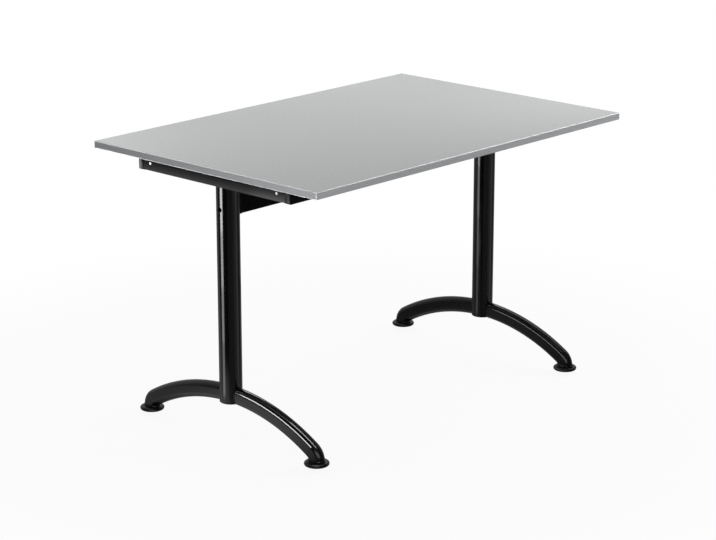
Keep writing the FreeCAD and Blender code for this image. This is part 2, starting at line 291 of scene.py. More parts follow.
# Turned brass of the threaded inserts: warm, with fine tool rings.
BRASS = Finish(
    "brass_turned", "#c9a457", "#b28d43", 0.28, 0.05, 4.0, 0.5, 0.005,
    metallic=1.0, stretch=(1.0, 1.0, 6.0),
)


# Mesh building
def arc_points(centre: Sequence[float], radius: float, start: float, stop: float, steps: int) -> list[tuple]:
    """Points of an arc in a flat profile, in straight steps between two angles in degrees, ends included."""
    turns = [math.radians(start + (stop - start) * step / steps) for step in range(steps + 1)]
    return [(centre[0] + radius * math.cos(turn), centre[1] + radius * math.sin(turn)) for turn in turns]


def flat_oval(width: float, height: float, steps: int = 16) -> list[tuple]:
    """Closed flat-oval outline about its middle, across first and up second.

    Args:
        width: the short side, which sets the round ends.
        height: the long side.
        steps: straight steps in each half circle.

    Returns:
        The outline's points, the first one not repeated.
    """
    half = width / 2
    flat = height / 2 - half
    upper = arc_points((0.0, flat), half, 0.0, 180.0, steps)
    return upper + arc_points((0.0, -flat), half, 180.0, 360.0, steps)


def wire_loop(bm: Mesh, points: Iterable[Vector], closed: bool) -> list[Edge]:
    """Add a chain of edges through points.

    Args:
        bm: the mesh that gets the chain.
        points: the chain's points.
        closed: whether the last point joins the first.

    Returns:
        The chain's edges in order.
    """
    verts = [bm.verts.new(point) for point in points]
    pairs = list(zip(verts, verts[1:]))
    if closed:
        pairs.append((verts[-1], verts[0]))
    return [bm.edges.new(pair) for pair in pairs]


def circle_loop(bm: Mesh, radius: float, steps: int, place: Matrix) -> list[Edge]:
    """Add a ring with as many edges as steps round the Z axis of a placing, and return its edges."""
    verts = bmesh.ops.create_circle(bm, segments=steps, radius=radius, cap_ends=False, matrix=place)["verts"]
    return list({edge for vert in verts for edge in vert.link_edges})


def face_outwards(bm: Mesh) -> None:
    """Turn the faces of a closed mesh outwards.

    Args:
        bm: the mesh, whose signed volume tells which way its faces look.
    """
    bmesh.ops.recalc_face_normals(bm, faces=bm.faces)
    if bm.calc_volume(signed=True) < 0.0:
        bmesh.ops.reverse_faces(bm, faces=bm.faces)


def bridge(bm: Mesh, first: Sequence[Edge], second: Sequence[Edge]) -> None:
    """Join two rings of edges with faces.

    The second ring is held off along the first one's axis meanwhile, because the operator can't
    tell whether two rings in one plane run the same way round.

    Args:
        bm: the mesh that the rings are in.
        first: one ring's edges.
        second: the other ring's edges.
    """
    ring = [vert.co for edge in first for vert in edge.verts]
    middle = sum(ring, Vector()) / len(ring)
    start, stop = first[0].verts
    axis = (start.co - middle).cross(stop.co - middle).normalized()
    moved = list({vert for edge in second for vert in edge.verts})
    bmesh.ops.translate(bm, vec=axis * BRIDGE_GAP, verts=moved)
    bmesh.ops.bridge_loops(bm, edges=[*first, *second])
    bmesh.ops.translate(bm, vec=axis * -BRIDGE_GAP, verts=moved)
    bm.normal_update()


def upright_to(foot: Vector, axis: Vector) -> Matrix:
    """Placing that takes the origin to a foot and the Z axis to an axis."""
    return Matrix.Translation(foot) @ UP.rotation_difference(axis).to_matrix().to_4x4()


def lathe(profile: Profile, place: Matrix, steps: int = ROUND_STEPS) -> Mesh:
    """Turn a profile about the Z axis and put it in its place.

    Args:
        profile: radius and height pairs.
        place: where the turned body goes.
        steps: how many steps the full turn has.

    Returns:
        The turned mesh, open only where the profile ends off the axis.
    """
    bm = bmesh.new()
    edges = wire_loop(bm, [Vector((radius, 0.0, height)) for radius, height in profile], closed=False)
    bmesh.ops.spin(
        bm, geom=bm.verts[:] + edges, cent=(0, 0, 0), axis=UP, angle=math.tau, steps=steps, use_merge=True
    )
    bmesh.ops.remove_doubles(bm, verts=bm.verts, dist=MERGE_DISTANCE)
    face_outwards(bm)
    bmesh.ops.transform(bm, verts=bm.verts, matrix=place)
    return bm


def block(low: Vector, high: Vector) -> Mesh:
    """Plain block between two corners, for bevels to shape.

    Args:
        low: the lowest corner.
        high: the highest corner.

    Returns:
        The block's mesh.
    """
    bm = bmesh.new()
    bmesh.ops.create_cube(bm, size=1.0)
    bmesh.ops.scale(bm, vec=high - low, verts=bm.verts)
    bmesh.ops.translate(bm, vec=(low + high) / 2, verts=bm.verts)
    return bm


def round_edges(bm: Mesh, radius: float, steps: int, keep: Callable[[Edge], bool]) -> None:
    """Round the edges that pass a test.

    Args:
        bm: the mesh to change.
        radius: the rounding's radius.
        steps: segments of the rounding.
        keep: says whether an edge is rounded.
    """
    edges = [edge for edge in bm.edges if keep(edge)]
    bmesh.ops.bevel(
        bm,
        geom=edges,
        offset=radius,
        segments=steps,
        profile=ROUND_PROFILE,
        affect="EDGES",
        material=-1,
        clamp_overlap=True,
    )


def edge_middle(edge: Edge) -> Vector:
    """Middle of an edge."""
    return (edge.verts[0].co + edge.verts[1].co) / 2


def edge_span(edge: Edge, axis: int) -> float:
    """How far an edge runs along an axis."""
    return abs(edge.verts[0].co[axis] - edge.verts[1].co[axis])


def corners(node: str) -> tuple[Vector, Vector]:
    """Lowest and highest corner of a CAD node at rest."""
    low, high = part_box(node)
    return Vector(low), Vector(high)


def node_copy(node: str) -> Mesh:
    """Merged copy of a CAD node's mesh, so that it can be shaded smooth.

    Args:
        node: the node's name.

    Returns:
        The merged mesh.
    """
    bm = bmesh.new()
    bm.from_mesh(frame["nodes"][node].data)
    bmesh.ops.remove_doubles(bm, verts=bm.verts, dist=10 * MERGE_DISTANCE)
    return bm


def joined(parts: Iterable[Mesh]) -> Mesh:
    """Gather several meshes in one.

    Args:
        parts: the meshes, which are used up.

    Returns:
        One mesh of separate shells.
    """
    whole = bmesh.new()
    for part in parts:
        mesh = bpy.data.meshes.new("shell")
        part.to_mesh(mesh)
        part.free()
        whole.from_mesh(mesh)
        bpy.data.meshes.remove(mesh)
    return whole


def piece(name: str, bm: Mesh, finish: Finish, *nodes: str, body: str = FRAME_BODY) -> None:
    """Finish a mesh as a piece of the table.

    Args:
        name: the piece's name.
        bm: its mesh, which is used up.
        finish: its surface finish, which knows its material slot.
        nodes: the CAD nodes that it stands for.
        body: the CAD body that it rides on.
    """
    mesh = bpy.data.meshes.new(name)
    bm.to_mesh(mesh)
    bm.free()
    mesh.shade_smooth()
    mesh.set_sharp_from_angle(angle=SHARP_ANGLE)
    mesh.materials.append(finish.material())
    made = bpy.data.objects.new(name, mesh)
    bpy.context.scene.collection.objects.link(made)
    flat = made.modifiers.new("flat_faces_lead", "WEIGHTED_NORMAL")
    flat.weight = FLAT_FACE_WEIGHT
    flat.keep_sharp = True
    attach(made, body)
    if nodes:
        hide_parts(*nodes)
    log.info("%s: %d faces on %s", name, len(mesh.polygons), body)


def dress(node: str, finish: Finish) -> None:
    """Give a CAD node that stays its finish.

    Args:
        node: the node's name.
        finish: its surface finish.
    """
    mesh = frame["nodes"][node].data
    mesh.materials.clear()
    mesh.materials.append(finish.material())
    log.info("%s: CAD shape with %s", node, finish.name)


class Key(Enum):
    """Recess in a screw's head, as corner count and inner share of the corner radius."""

    HEX = (6, 1.0)
    CROSS = (8, 0.42)


@dataclass(frozen=True)
class Recess:
    """Driving recess in the flat end of a screw."""

    key: Key
    radius: float
    depth: float

    def sink(self, bm: Mesh, height: float) -> None:
        """Close the open upper end of a turned screw with the recess.

        Args:
            bm: the screw's mesh, open at its upper end.
            height: where that end is.
        """
        count, share = self.key.value
        rim = [edge for edge in bm.edges if edge.is_boundary]
        key = circle_loop(bm, self.radius, count, Matrix.Translation(UP * height))
        ring = {vert for edge in key for vert in edge.verts}
        verts = sorted(ring, key=lambda vert: math.atan2(vert.co.y, vert.co.x))
        bmesh.ops.scale(bm, vec=(share, share, 1.0), verts=verts[1::2])
        bridge(bm, rim, key)
        floor = bmesh.ops.edgenet_fill(bm, edges=key)["faces"]
        sunk = bmesh.ops.extrude_discrete_faces(bm, faces=floor)["faces"]
        bmesh.ops.translate(bm, vec=UP * -self.depth, verts=[vert for face in sunk for vert in face.verts])
        bmesh.ops.bridge_loops(bm, edges=[edge for edge in bm.edges if edge.is_boundary])
        face_outwards(bm)


def headed_screw(shank: Profile, head: Profile, recess: Recess, place: Matrix) -> Mesh:
    """Turned screw with a recessed head.

    Args:
        shank: radius and height pairs from the tip on the axis to the head's seat.
        head: radius and height pairs from the seat's rim to the rim of the recessed face.
        recess: the driving recess.
        place: where the tip goes, with the head along Z.

    Returns:
        The screw's mesh.
    """
    bm = lathe([*shank, *head], Matrix.Identity(4), SMALL_ROUND_STEPS)
    recess.sink(bm, head[-1][1])
    bmesh.ops.transform(bm, verts=bm.verts, matrix=place)
    return bm


def domed_head(radius: float, height: float, seat: float, steps: int = 8) -> list[tuple]:
    """Profile of a domed head with a small flat on top.

    Args:
        radius: the head's radius.
        height: the head's height.
        seat: the height of its seat on the screw.
        steps: straight steps in the dome.

    Returns:
        Radius and height pairs from the seat's rim to the flat's rim.
    """
    wall = height * DOME_WALL_SHARE
    rise = (height - wall) / math.sin(math.radians(DOME_LAST_ANGLE))
    dome = arc_points((0.0, 0.0), 1.0, 0.0, DOME_LAST_ANGLE, steps)
    return [(radius, seat)] + [(radius * out, seat + wall + rise * lift) for out, lift in dome]


def weld_bead(path: Sequence[Vector], radius: float, ripple: float) -> Mesh:
    """Rippled weld bead along a closed path.

    Args:
        path: the bead's middle line.
        radius: the bead's radius.
        ripple: how much of the radius the ripples take.

    Returns:
        The bead's mesh.
    """
    bm = bmesh.new()
    count = len(path)
    loops = []
    for place in range(count):
        heading = path[(place + 1) % count] - path[place - 1]
        swell = radius * (1.0 + ripple * math.sin(place * math.tau / BEAD_RIPPLE_STEPS))
        loops.append(circle_loop(bm, swell, BEAD_SIDES, upright_to(path[place], heading)))
    for place in range(count):
        bridge(bm, loops[place - 1], loops[place])
    face_outwards(bm)
    return bm


# Sub-assemblies
@dataclass
class TableTop:
    """Laminated board with its four edge bands."""

    arris: float = 2.4 * MM
    arris_steps: int = 6
    glue_line: float = 0.25 * MM
    near: float = 0.01 * MM

    def build(self) -> None:
        """Make the bands and the laminate, and dress the hidden layers."""
        for word, axis, way in (("front", 1, -1), ("back", 1, 1), ("left", 0, -1), ("right", 0, 1)):
            self.band(word, axis, way)
        low, high = corners("top_laminate")
        sheet = block(low, high)
        round_edges(sheet, self.glue_line, 1, lambda edge: edge_middle(edge).z > high.z - self.near)
        piece("laminate_sheet", sheet, LAMINATE, "top_laminate")
        dress("backing_laminate", BACKING)
        dress("top_board", CHIPBOARD)

    def band(self, word: str, axis: int, way: int) -> None:
        """Make one edge band with rounded outer arrises and a fine line where it meets the laminate.

        Args:
            word: the edge's name.
            axis: 0 for a short band across the table, 1 for a long one, which closes the corners.
            way: the way the band's outer face looks along that axis.
        """
        node = f"edge_band_{word}"
        low, high = corners(node)
        outer, inner = (high[axis], low[axis]) if way > 0 else (low[axis], high[axis])
        bm = block(low, high)

        def outer_arris(edge: Edge) -> bool:
            """Long outer edges, and the upright ones where a long band ends."""
            upright = edge_span(edge, 2) > MM
            return abs(edge_middle(edge)[axis] - outer) < self.near and (axis == 1 or not upright)

        def inner_top(edge: Edge) -> bool:
            """The upper edge that meets the laminate."""
            middle = edge_middle(edge)
            return abs(middle[axis] - inner) < self.near and middle.z > high.z - self.near

        round_edges(bm, self.arris, self.arris_steps, outer_arris)
        round_edges(bm, self.glue_line, 1, inner_top)
        piece(f"band_{word}", bm, EDGE_BAND, node)


@dataclass
class Leg:
    """One T leg: column, plug, head channel with caps, bow arms, toe caps and their welds."""

    side: Side
    column_wall: float = 2.0 * MM
    column_chamfer: float = 0.5 * MM
    plug_round: float = 2.4 * MM
    plug_round_steps: int = 8
    plug_clearance: float = 0.15 * MM
    plug_skirt_wall: float = 3.0 * MM
    plug_dish: float = 0.8 * MM
    plug_dish_radius: float = 21.6 * MM
    plug_rim_radius: float = 22.8 * MM
    cap_screw_shank: float = 2.0 * MM
    cap_screw_reach: float = 8.2 * MM
    cap_screw_key: float = 2.2 * MM
    cap_screw_key_depth: float = 1.4 * MM
    arm_height: float = 46.0 * MM
    arm_wall: float = 2.0 * MM
    arm_crown: float = 116.5 * MM
    arm_overlap: float = 5.0 * MM
    bow_steps: int = 72
    toe_inner_radius: float = 5.0 * MM
    toe_steps: int = 28
    toe_groove: float = 0.7 * MM
    spigot_length: float = 30.0 * MM
    spigot_clearance: float = 0.2 * MM
    collar_height: float = 3.0 * MM
    collar_width: float = 1.5 * MM
    collar_round: float = 1.2 * MM
    collar_round_steps: int = 5
    collar_bite: float = 3.0 * MM
    insert_hole: float = 7.05 * MM
    insert_length: float = 18.0 * MM
    stud_hole: float = 5.5 * MM
    stud_hole_top: float = 46.5 * MM
    weld_radius: float = 2.0 * MM
    weld_ripple: float = 0.12
    head_weld_steps: int = 240

    def __post_init__(self) -> None:
        """Read the leg's places from the frame and work out the bow that joins crown and toe."""
        word = self.side.word
        low, high = corners(f"column_{word}")
        self.axis_x = (low.x + high.x) / 2
        self.column_radius = (high.x - low.x) / 2
        self.column_foot = low.z
        self.column_head = high.z
        arm_low, arm_high = corners(f"foot_arm_back_{word}")
        self.arm_width = arm_high.x - arm_low.x
        pad_low, pad_high = corners(f"glide_pad_back_{word}")
        self.glide_y = (pad_low.y + pad_high.y) / 2
        self.toe_foot = corners(f"toe_cap_back_{word}")[0].z
        self.toe_radius = self.arm_height / 2 + self.toe_inner_radius
        rise = self.arm_crown - self.toe_foot
        reach = self.glide_y - self.toe_radius
        self.bow_radius = (reach ** 2 + rise ** 2 - self.toe_radius ** 2) / (2 * (rise - self.toe_radius))
        self.bow_centre = Vector((self.axis_x, 0.0, self.arm_crown - self.bow_radius))
        self.arm_end = math.asin(reach / (self.bow_radius - self.toe_radius))

    def build(self) -> None:
        """Make and dress every piece of the leg."""
        self.column()
        self.plug()
        self.channel()
        self.cap_screws()
        for end in End:
            self.arm(end)
            self.toe(end)
            self.arm_weld(end)
        self.head_weld()
        dress(f"top_screws_{self.side.word}", ZINC)

    def column(self) -> None:
        """Round tube with a broken lower edge."""
        outer = self.column_radius
        inner = outer - self.column_wall
        height = self.column_head - self.column_foot
        profile = [(inner, 0.0), (outer - self.column_chamfer, 0.0), (outer, self.column_chamfer)]
        profile += [(outer, height), (inner, height), (inner, 0.0)]
        tube = lathe(profile, Matrix.Translation((self.axis_x, 0.0, self.column_foot)))
        word = self.side.word
        piece(f"column_tube_{word}", tube, POWDER_COAT, f"column_{word}")

    def plug(self) -> None:
        """Plug with a rounded flange, a dished underside and a skirt inside the column."""
        word = self.side.word
        low, high = corners(f"column_plug_{word}")
        outer = self.column_radius
        flange = self.column_foot - low.z
        top = high.z - low.z
        skirt = outer - self.column_wall - self.plug_clearance
        hollow = skirt - self.plug_skirt_wall
        rounding = self.plug_round
        dish = self.plug_dish
        rim = arc_points((outer - rounding, rounding), rounding, -90.0, 0.0, self.plug_round_steps)
        profile = [(0.0, dish), (self.plug_dish_radius, dish), (self.plug_rim_radius, 0.0)]
        profile += [*rim, (outer, flange), (skirt, flange), (skirt, top)]
        profile += [(hollow, top), (hollow, flange), (0.0, flange)]
        body = lathe(profile, Matrix.Translation((self.axis_x, 0.0, low.z)))
        piece(f"plug_{word}", body, POLYAMIDE, f"column_plug_{word}")

    def channel(self) -> None:
        """Pressed channel with its beam notch, and the moulded hoods with tongues on its ends."""
        word = self.side.word
        node = f"head_channel_{word}"
        piece(f"channel_{word}", node_copy(node), POWDER_COAT, node)
        for end in End:
            node = f"channel_cap_{end.word}_{word}"
            piece(f"cap_{end.word}_{word}", node_copy(node), POLYAMIDE, node)

    def cap_screws(self) -> None:
        """Bright domed screws through both sides of the channel into the caps."""
        word = self.side.word
        node = f"cap_screws_{word}"
        low, high = corners(node)
        faces = corners(f"head_channel_{word}")
        radius = (high.z - low.z) / 2
        height = high.x - faces[1].x
        reach = self.cap_screw_reach
        shank = [(0.0, 0.0), (self.cap_screw_shank, self.cap_screw_shank), (self.cap_screw_shank, reach)]
        head = domed_head(radius, height, reach)
        recess = Recess(Key.CROSS, self.cap_screw_key, self.cap_screw_key_depth)
        screws = []
        for way, face in zip((-1, 1), faces):
            for y_place in (low.y + radius, high.y - radius):
                tip = Vector((face.x - way * reach, y_place, (low.z + high.z) / 2))
                screws.append(headed_screw(shank, head, recess, upright_to(tip, ALONG * way)))
        piece(f"channel_screws_{word}", joined(screws), ZINC, node)

    def section(
        self, bm: Mesh, end: End, growth: float, bow: float, bend: float, lift: float = 0.0
    ) -> list[Edge]:
        """Add one flat-oval section of the foot.

        Args:
            bm: the mesh that gets the section.
            end: the foot's end that it lies on.
            growth: how far its outline stands outside the arm's.
            bow: its angle along the bow from the crown.
            bend: its angle round the toe's bend after that.
            lift: how far it is raised at last.

        Returns:
            The section's edges.
        """
        outline = flat_oval(self.arm_width + 2 * growth, self.arm_height + 2 * growth)
        points = [Vector((self.axis_x + across, 0.0, self.arm_crown + up)) for across, up in outline]
        edges = wire_loop(bm, points, closed=True)
        verts = list({vert for edge in edges for vert in edge.verts})
        knee = Vector((self.axis_x, end.value * (self.glide_y - self.toe_radius), self.toe_foot))
        for centre, angle in ((self.bow_centre, bow), (knee, bend)):
            turn = Matrix.Rotation(-end.value * angle, 3, "X")
            bmesh.ops.rotate(bm, verts=verts, cent=centre, matrix=turn)
        bmesh.ops.translate(bm, vec=UP * lift, verts=verts)
        return edges

    def arm(self, end: End) -> None:
        """Bow arm of flat-oval tube from inside the column's surface to the toe.

        Args:
            end: the foot's end that the arm runs to.
        """
        bm = bmesh.new()
        start = math.asin((self.column_radius - self.arm_overlap) / self.bow_radius)
        outer = self.section(bm, end, 0.0, start, 0.0)
        inner = self.section(bm, end, -self.arm_wall, start, 0.0)
        bridge(bm, outer, inner)
        bmesh.ops.spin(
            bm,
            geom=bm.faces[:] + bm.edges[:] + bm.verts[:],
            cent=self.bow_centre,
            axis=ALONG,
            angle=-end.value * (self.arm_end - start),
            steps=self.bow_steps,
        )
        face_outwards(bm)
        word = f"{end.word}_{self.side.word}"
        piece(f"arm_{word}", bm, POWDER_COAT, f"foot_arm_{word}")

    def toe(self, end: End) -> None:
        """Moulded elbow with a spigot in the arm, a groove at the joint, a collar and the glide's bore.

        Args:
            end: the foot's end that the toe closes.
        """
        bm = bmesh.new()
        inside = -self.arm_wall - self.spigot_clearance
        turn = math.pi / 2 - self.arm_end
        groove = math.asin(self.toe_groove / self.toe_radius)
        loops = [
            self.section(bm, end, inside, self.arm_end - self.spigot_length / self.bow_radius, 0.0),
            self.section(bm, end, inside, self.arm_end, 0.0),
            self.section(bm, end, -self.toe_groove, self.arm_end, 0.0),
        ]
        for step in range(self.toe_steps + 1):
            bend = groove + (turn - groove) * step / self.toe_steps
            loops.append(self.section(bm, end, 0.0, self.arm_end, bend))
        insert_top = self.toe_foot + self.insert_length
        bore = (
            (self.insert_hole, self.toe_foot),
            (self.insert_hole, insert_top),
            (self.stud_hole, insert_top),
            (self.stud_hole, self.stud_hole_top),
        )
        for radius, height in bore:
            middle = Matrix.Translation((self.axis_x, end.value * self.glide_y, height))
            loops.append(circle_loop(bm, radius, len(loops[0]), middle))
        for last, loop in zip(loops, loops[1:]):
            bridge(bm, last, loop)
        for loop in (loops[0], loops[-1]):
            bmesh.ops.edgenet_fill(bm, edges=loop)
        face_outwards(bm)
        word = f"{end.word}_{self.side.word}"
        toe = joined((bm, self.collar(end, turn)))
        piece(f"toe_{word}", toe, POLYAMIDE, f"toe_cap_{word}")

    def collar(self, end: End, turn: float) -> Mesh:
        """Rounded collar round the toe's foot.

        Args:
            end: the foot's end that the collar is on.
            turn: the toe's whole bend.

        Returns:
            The collar's mesh, a closed ring.
        """
        bm = bmesh.new()
        width = self.collar_width
        top = self.collar_height
        rounding = self.collar_round
        rim = arc_points((width - rounding, top - rounding), rounding, 0.0, 90.0, self.collar_round_steps)
        outline = [(width, 0.0), *rim, (-self.collar_bite, top), (-self.collar_bite, 0.0)]
        loops = [self.section(bm, end, growth, self.arm_end, turn, lift) for growth, lift in outline]
        for place, loop in enumerate(loops):
            bridge(bm, loops[place - 1], loop)
        face_outwards(bm)
        return bm

    def arm_weld(self, end: End) -> None:
        """Weld bead round the arm where it meets the column.

        Args:
            end: the foot's end that the arm is on.
        """
        path = []
        for across, up in flat_oval(self.arm_width, self.arm_height, SMALL_ROUND_STEPS):
            out = math.sqrt(self.column_radius ** 2 - across ** 2)
            tilt = math.asin(out / self.bow_radius)
            lift = self.bow_centre.z + (self.bow_radius + up) * math.cos(tilt)
            if lift > self.column_foot:
                path.append(Vector((self.axis_x + across, end.value * out, lift)))
        bead = weld_bead(path, self.weld_radius, self.weld_ripple)
        piece(f"arm_weld_{end.word}_{self.side.word}", bead, POWDER_COAT)

    def head_weld(self) -> None:
        """Weld bead round the column's head under the channel's web."""
        turns = [math.tau * place / self.head_weld_steps for place in range(self.head_weld_steps)]
        foot = Vector((self.axis_x, 0.0, self.column_head - self.weld_radius / 2))
        path = [foot + Matrix.Rotation(turn, 3, "Z") @ (ALONG * self.column_radius) for turn in turns]
        bead = weld_bead(path, self.weld_radius, self.weld_ripple)
        piece(f"head_weld_{self.side.word}", bead, POWDER_COAT)


@dataclass
class Glide:
    """One levelling glide: pad, threaded stud and the insert that it screws into."""

    side: Side
    end: End
    rim_round: float = 5.0 * MM
    rim_height: float = 5.2 * MM
    rim_start: float = -78.0
    rim_stop: float = 80.0
    rim_steps: int = 14
    crown_radius: float = 14.0 * MM
    base_radius: float = 27.5 * MM
    sole: float = 3.4 * MM
    key_hole: float = 4.5 * MM
    pocket_radius: float = 9.3 * MM
    pocket_height: float = 3.6 * MM
    neck: float = 5.05 * MM
    break_edge: float = 0.4 * MM
    stud_radius: float = 5.0 * MM
    flange: float = 3.0 * MM
    plain_length: float = 8.5 * MM
    chamfer: float = 1.0 * MM
    hex_radius: float = 3.46 * MM
    hex_depth: float = 5.0 * MM
    pitch: float = 1.5 * MM
    thread_depth: float = 0.8 * MM
    thread_half_share: float = 0.45
    thread_crest_share: float = 0.2
    thread_root_sink: float = 0.1 * MM
    thread_steps: int = 24

    def build(self) -> None:
        """Make the pad and the stud, and dress the insert."""
        word = f"{self.end.word}_{self.side.word}"
        self.pad(word)
        self.stud(word)
        dress(f"glide_insert_{word}", BRASS)

    def pad(self, word: str) -> None:
        """Round pad with a full rim, a low crown, a pocket for the stud's flange and a key hole.

        Args:
            word: the glide's name as the nodes spell it.
        """
        low, high = corners(f"glide_pad_{word}")
        radius = (high.x - low.x) / 2
        height = high.z - low.z
        middle = (low + high) / 2
        pocket_top = self.sole + self.pocket_height
        pocket = self.pocket_radius
        hole = self.key_hole
        neck = self.neck
        broken = self.break_edge
        rim = (radius - self.rim_round, self.rim_height)
        profile = [(hole, self.sole), (hole, broken), (hole + broken, 0.0), (self.base_radius, 0.0)]
        profile += arc_points(rim, self.rim_round, self.rim_start, self.rim_stop, self.rim_steps)
        profile += [(self.crown_radius, height), (neck + broken, height), (neck, height - broken)]
        profile += [(neck, pocket_top), (pocket, pocket_top), (pocket, self.sole), (hole, self.sole)]
        bm = lathe(profile, Matrix.Translation((middle.x, middle.y, low.z)))
        piece(f"pad_{word}", bm, GLIDE_NYLON, f"glide_pad_{word}", body=f"pad_{word}")

    def stud(self, word: str) -> None:
        """Stud with a true helical thread, a flange held in the pad and a key socket from below.

        Args:
            word: the glide's name as the nodes spell it.
        """
        low, high = corners(f"glide_stud_{word}")
        middle = (low + high) / 2
        length = high.z - low.z
        core = self.stud_radius - self.thread_depth
        runout = length - self.plain_length
        shank = [(0.0, 0.0), (core - self.chamfer, 0.0), (core, self.chamfer)]
        shank += [(core, runout - self.chamfer), (self.stud_radius, runout)]
        shank.append((self.stud_radius, length - self.flange))
        radius = (high.x - low.x) / 2
        flange = [(radius, length - self.flange), (radius, length)]
        place = upright_to(Vector((middle.x, middle.y, high.z)), -UP)
        screw = headed_screw(shank, flange, Recess(Key.HEX, self.hex_radius, self.hex_depth), place)
        thread = self.thread(core, 2 * self.chamfer, runout - self.chamfer)
        bmesh.ops.transform(thread, verts=thread.verts, matrix=place)
        piece(f"stud_{word}", joined((screw, thread)), ZINC, f"glide_stud_{word}", body=f"stud_{word}")

    def thread(self, core: float, start: float, stop: float) -> Mesh:
        """Helical ridge between two heights on the Z axis.

        Args:
            core: the radius at the root.
            start: the first height.
            stop: the last height.

        Returns:
            The ridge's mesh with closed ends.
        """
        bm = bmesh.new()
        turns = int((stop - start) / self.pitch) - 1
        half = self.pitch * self.thread_half_share
        crest = half * self.thread_crest_share
        root = core - self.thread_root_sink
        corner_places = [(root, -half), (self.stud_radius, -crest), (self.stud_radius, crest), (root, half)]
        points = [Vector((radius, 0.0, start + half + lift)) for radius, lift in corner_places]
        edges = wire_loop(bm, points, closed=True)
        face = bmesh.ops.edgenet_fill(bm, edges=edges)["faces"]
        bmesh.ops.spin(
            bm,
            geom=face + edges + bm.verts[:],
            cent=(0.0, 0.0, 0.0),
            axis=UP,
            dvec=UP * (self.pitch / self.thread_steps),
            angle=math.tau * turns,
            steps=turns * self.thread_steps,
        )
        bmesh.ops.remove_doubles(bm, verts=bm.verts, dist=MERGE_DISTANCE)
        face_outwards(bm)
        return bm


@dataclass
class Beam:
    """Tube between the columns with its saddles, end plates and bolts."""

    corner: float = 3.0 * MM
    corner_steps: int = 5
    wall: float = 2.0 * MM
    end_facing: float = 0.5
    bolt_radius: float = 4.0 * MM
    bolt_chamfer: float = 1.0 * MM
    key_radius: float = 2.9 * MM
    key_depth: float = 2.4 * MM

    def build(self) -> None:
        """Make the tube and the bolts, and dress the saddles and plates."""
        self.tube()
        for side in Side:
            node = f"beam_saddle_{side.word}"
            piece(f"saddle_{side.word}", node_copy(node), POLYAMIDE, node)
            dress(f"beam_end_plate_{side.word}", POWDER_COAT)
            self.bolts(side)

    def tube(self) -> None:
        """Rectangular tube, rounded along its corners and open at its ends."""
        bm = block(*corners("beam"))
        round_edges(bm, self.corner, self.corner_steps, lambda edge: edge_span(edge, 0) > MM)
        ends = [face for face in bm.faces if abs(face.normal.x) > self.end_facing]
        bmesh.ops.delete(bm, geom=ends, context="FACES_ONLY")
        bmesh.ops.solidify(bm, geom=bm.faces[:], thickness=self.wall)
        piece("beam_tube", bm, POWDER_COAT, "beam")

    def bolts(self, side: Side) -> None:
        """Button-head bolts through one column into the beam's end plate.

        Args:
            side: the leg that they go through.
        """
        node = f"beam_bolts_{side.word}"
        low, high = corners(node)
        column_low, column_high = corners(f"column_{side.word}")
        radius = (high.y - low.y) / 2
        outward = side is Side.RIGHT
        head_height = high.x - column_high.x if outward else column_low.x - low.x
        reach = high.x - low.x - head_height
        thick = self.bolt_radius
        shank = [(0.0, 0.0), (thick - self.bolt_chamfer, 0.0), (thick, self.bolt_chamfer), (thick, reach)]
        head = domed_head(radius, head_height, reach)
        recess = Recess(Key.HEX, self.key_radius, self.key_depth)
        bolts = []
        for height in (low.z + radius, high.z - radius):
            tip = Vector((low.x if outward else high.x, 0.0, height))
            bolts.append(headed_screw(shank, head, recess, upright_to(tip, ALONG * side.value)))
        piece(f"bolts_{side.word}", joined(bolts), BLACK_OXIDE, node)


# Studio
class Shows(Enum):
    """What a lamp does: light surfaces, show in shiny ones, or both."""

    LIGHT = 1
    SHINE = 2
    BOTH = 3


@dataclass(frozen=True)
class Lamp:
    """Soft rectangular lamp. It reaches every piece, or only those whose names start as it says."""

    name: str
    place: tuple[float, float, float]
    target: tuple[float, float, float]
    size: tuple[float, float]
    watts: float
    pieces: tuple[str, ...] = ()
    shows: Shows = Shows.SHINE

    def build(self) -> None:
        """Hang the lamp, turn it to its target and link it to its pieces."""
        data = bpy.data.lights.new(self.name, "AREA")
        data.shape = "RECTANGLE"
        data.size, data.size_y = self.size
        data.energy = self.watts
        lamp = bpy.data.objects.new(self.name, data)
        lamp.location = self.place
        lamp.rotation_mode = "QUATERNION"
        lamp.rotation_quaternion = (Vector(self.target) - Vector(self.place)).to_track_quat("-Z", "Y")
        lamp.visible_camera = False
        lamp.visible_diffuse = self.shows is not Shows.SHINE
        lamp.visible_glossy = self.shows is not Shows.LIGHT
        bpy.context.scene.collection.objects.link(lamp)
        if self.pieces:
            lit = bpy.data.collections.new(f"{self.name}_pieces")
            for made in bpy.data.objects:
                if made.name.startswith(self.pieces):
                    lit.objects.link(made)
            lamp.light_linking.receiver_collection = lit


